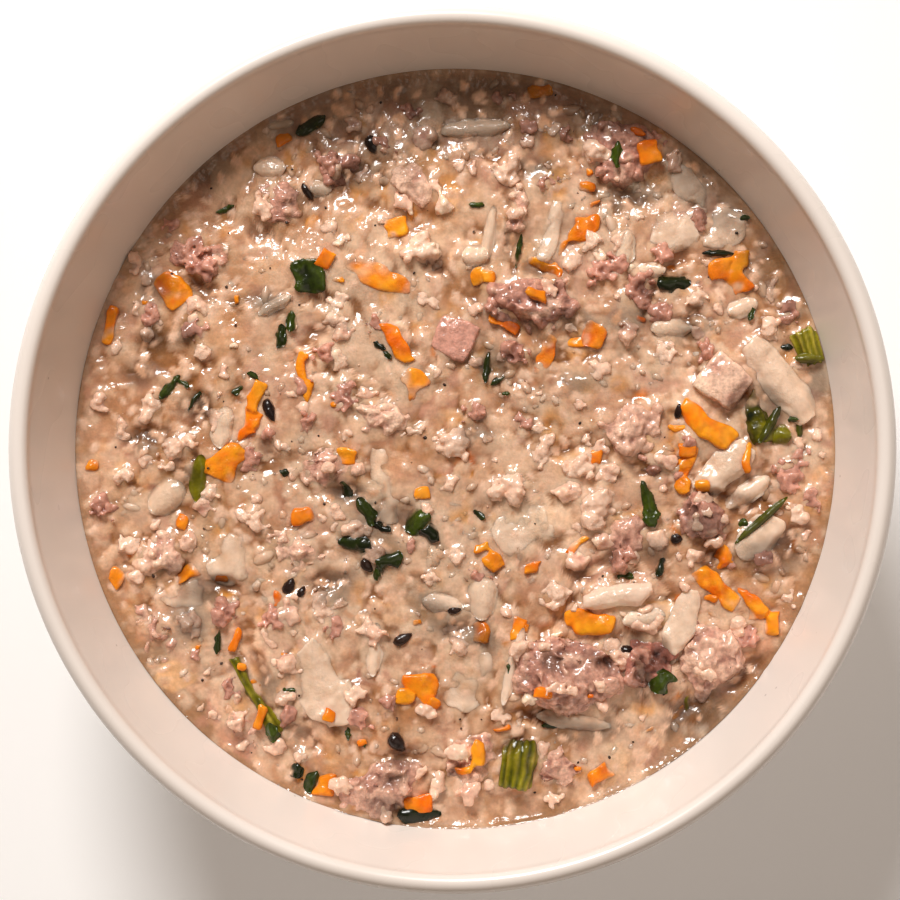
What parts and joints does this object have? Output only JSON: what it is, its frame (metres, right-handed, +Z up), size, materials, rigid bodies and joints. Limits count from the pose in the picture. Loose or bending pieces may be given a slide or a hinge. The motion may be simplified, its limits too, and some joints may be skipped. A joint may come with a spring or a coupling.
{
  "type": "bowl of chicken and rice porridge",
  "caption": "Round glazed bowl on a foot ring, filled with thick rice porridge and uneven bites of chicken, carrot, cabbage, celery and greens.",
  "frame": {"origin": "centre of the foot's underside, on the bowl's axis", "axes": "+Z up along the bowl's axis; +X and +Y lie on the table"},
  "size_m": [0.1598, 0.1598, 0.0659],
  "materials": {
    "glaze": "gloss",
    "porridge": "satin",
    "chicken": "satin",
    "carrot": "satin",
    "cabbage": "satin",
    "celery": "satin",
    "greens": "satin"
  },
  "bodies": {
    "root": {"bowl": "glaze", "cabbage_01": "cabbage", "cabbage_02": "cabbage", "cabbage_03": "cabbage", "cabbage_04": "cabbage", "cabbage_05": "cabbage", "cabbage_06": "cabbage", "cabbage_07": "cabbage", "cabbage_08": "cabbage", "cabbage_09": "cabbage", "cabbage_10": "cabbage", "cabbage_11": "cabbage", "cabbage_12": "cabbage", "cabbage_13": "cabbage", "cabbage_14": "cabbage", "cabbage_15": "cabbage", "carrot_01": "carrot", "carrot_02": "carrot", "carrot_03": "carrot", "carrot_04": "carrot", "carrot_05": "carrot", "carrot_06": "carrot", "carrot_07": "carrot", "carrot_08": "carrot", "carrot_09": "carrot", "carrot_10": "carrot", "carrot_11": "carrot", "celery_01": "celery", "celery_02": "celery", "celery_03": "celery", "celery_04": "celery", "chicken_01": "chicken", "chicken_02": "chicken", "chicken_03": "chicken", "chicken_04": "chicken", "chicken_05": "chicken", "chicken_06": "chicken", "chicken_07": "chicken", "chicken_08": "chicken", "chicken_09": "chicken", "chicken_10": "chicken", "chicken_11": "chicken", "chicken_12": "chicken", "chicken_13": "chicken", "chicken_14": "chicken", "chicken_15": "chicken", "chicken_16": "chicken", "chicken_17": "chicken", "chicken_18": "chicken", "chicken_19": "chicken", "chicken_20": "chicken", "chicken_21": "chicken", "chicken_22": "chicken", "chicken_23": "chicken", "chicken_24": "chicken", "greens_01": "greens", "greens_02": "greens", "rice_porridge": "porridge"}
  },
  "joints": []
}
